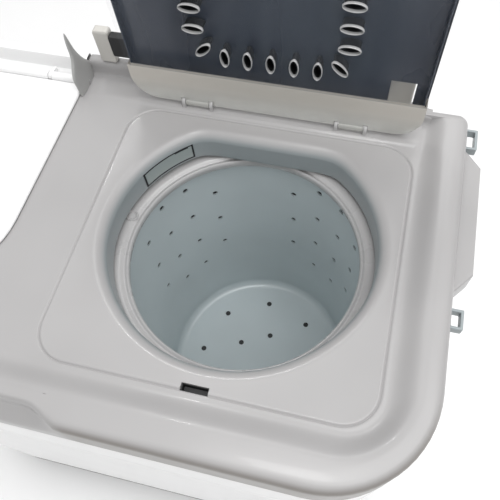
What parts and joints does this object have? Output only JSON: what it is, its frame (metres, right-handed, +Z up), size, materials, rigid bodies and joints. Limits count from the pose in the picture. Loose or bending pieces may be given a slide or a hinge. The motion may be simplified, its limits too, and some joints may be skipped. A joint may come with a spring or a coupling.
{
  "type": "twin-tub washing machine",
  "caption": "Free-standing twin-tub top-load washer: a wash tub with a pulsator beside a spin dryer with a raised see-through lid.",
  "frame": {"origin": "centre of the footprint, on the floor", "axes": "+X to the machine's right seen from the front, +Y to its back, +Z up"},
  "size_m": [0.818, 0.436, 1.174],
  "materials": {
    "deck_plastic": "semi-gloss moulded white",
    "cabinet_plastic": "semi-gloss moulded white",
    "cover_plastic": "matt sheet",
    "dark_plastic": "matt dark grey",
    "fascia_plastic": "satin pale grey",
    "tub_plastic": "satin pale blue-grey",
    "skirt_plastic": "satin blue-grey",
    "basket_plastic": "satin pale blue-grey",
    "white_plastic": "gloss white",
    "ivory_plastic": "satin ivory",
    "lid_plastic": "gloss bright white",
    "grey_plastic": "matt grey",
    "black_plastic": "matt black",
    "filter_plastic": "blue",
    "knob_plastic": "satin blue-grey",
    "clear_plastic": "milky clear",
    "smoked_plastic": "smoked, translucent",
    "rubber": "black rubber",
    "steel": "bright steel",
    "cast_housing": "grey painted metal",
    "motor_paint": "grey painted metal",
    "aluminium": "plain can"
  },
  "bodies": {
    "cabinet": {"top_deck": "deck_plastic", "cabinet_wrap": "cabinet_plastic", "rear_cover": "cover_plastic", "base_tray": "dark_plastic", "feet": "rubber", "control_fascia": "fascia_plastic", "cover_screws": "steel", "wash_tub": "tub_plastic", "lint_filter": "filter_plastic", "overflow_pipe": "white_plastic", "wash_bearing": "cast_housing", "wash_seal": "rubber", "drive_belt": "rubber", "wash_motor": "motor_paint", "motor_bracket": "motor_paint", "spin_casing": "tub_plastic", "spin_skirt": "skirt_plastic", "shower_window": "skirt_plastic", "spin_bearing": "cast_housing", "bellows_seal": "rubber", "brake_pivot": "steel", "spin_motor": "motor_paint", "suspension_springs": "steel", "rubber_mounts": "rubber", "hinge_brackets": "white_plastic", "spin_hinge_pins": "steel", "lid_stop_posts": "ivory_plastic", "lid_buffers": "rubber", "wash_hinge_pins": "steel", "hinge_fin": "grey_plastic", "lid_switch": "black_plastic", "side_handles": "deck_plastic", "cord_hooks": "skirt_plastic", "wash_timer": "ivory_plastic", "spin_timer": "ivory_plastic", "selector_switch": "ivory_plastic", "drain_valve": "grey_plastic", "drain_spigot": "black_plastic", "water_inlet": "ivory_plastic", "cord_gland": "black_plastic", "capacitor": "aluminium"},
    "spin_lid": {"spin_lid_panel": "clear_plastic", "spin_lid_cover": "smoked_plastic"},
    "wash_lid": {"wash_lid": "lid_plastic"},
    "basket_unit": {"spin_basket": "basket_plastic", "balance_ring": "white_plastic", "spin_shaft": "steel", "brake_drum": "cast_housing", "spin_rotor": "steel"},
    "pulsator_unit": {"pulsator": "white_plastic", "pulsator_shaft": "steel", "large_pulley": "ivory_plastic"},
    "wash_motor_unit": {"wash_rotor": "steel", "motor_pulley": "steel"},
    "brake_arm": {"brake_lever": "cast_housing"},
    "safety_plunger": {"lid_plunger": "black_plastic"},
    "drain_stopper": {"drain_plunger": "rubber"},
    "wash_timer_dial": {"wash_timer_knob": "knob_plastic"},
    "spin_timer_dial": {"spin_timer_knob": "knob_plastic"},
    "selector_dial": {"selector_knob": "knob_plastic"}
  },
  "joints": [
    {"name": "spin_lid_hinge", "type": "hinge", "parent": "cabinet", "child": "spin_lid", "pos_m": [0.1845, 0.163, 0.867], "axis": [1, 0, 0], "range_deg": [0, 90]},
    {"name": "wash_lid_hinge", "type": "hinge", "parent": "cabinet", "child": "wash_lid", "pos_m": [-0.197, 0.171, 0.864], "axis": [-1, 0, 0], "range_deg": [0, 92]},
    {"name": "basket_spin", "type": "hinge", "parent": "cabinet", "child": "basket_unit", "pos_m": [0.186, 0.013, 0.5], "axis": [0, 0, 1], "continuous": true},
    {"name": "pulsator_spin", "type": "hinge", "parent": "cabinet", "child": "pulsator_unit", "pos_m": [-0.197, 0.0385, 0.45], "axis": [0, 0, 1], "continuous": true},
    {"name": "wash_motor_spin", "type": "hinge", "parent": "cabinet", "child": "wash_motor_unit", "pos_m": [-0.29, -0.0795, 0.3], "axis": [0, 0, 1], "continuous": true},
    {"name": "brake_release", "type": "hinge", "parent": "cabinet", "child": "brake_arm", "pos_m": [0.2435, -0.015, 0.315], "axis": [0, 0, -1], "range_deg": [0, 8]},
    {"name": "plunger_press", "type": "slide", "parent": "cabinet", "child": "safety_plunger", "axis": [0, 0, -1], "range_m": [0, 0.004], "stiffness_N_per_m": 150, "springref_m": -0.005},
    {"name": "stopper_lift", "type": "slide", "parent": "cabinet", "child": "drain_stopper", "axis": [0, 0, 1], "range_m": [0, 0.01]},
    {"name": "wash_timer_turn", "type": "hinge", "parent": "cabinet", "child": "wash_timer_dial", "pos_m": [-0.25, -0.21, 0.762], "axis": [0, -1, 0], "range_deg": [-330, 0]},
    {"name": "spin_timer_turn", "type": "hinge", "parent": "cabinet", "child": "spin_timer_dial", "pos_m": [-0.06, -0.21, 0.762], "axis": [0, -1, 0], "range_deg": [-300, 0]},
    {"name": "selector_turn", "type": "hinge", "parent": "cabinet", "child": "selector_dial", "pos_m": [-0.155, -0.21, 0.762], "axis": [0, -1, 0], "range_deg": [-90, 0]}
  ],
  "couplings": [
    {"joint": "wash_motor_spin", "follows": "pulsator_spin", "ratio": 4.3182},
    {"joint": "brake_release", "follows": "spin_lid_hinge", "ratio": 0.088889},
    {"joint": "stopper_lift", "follows": "selector_turn", "m_per_rad": -0.006366}
  ]
}
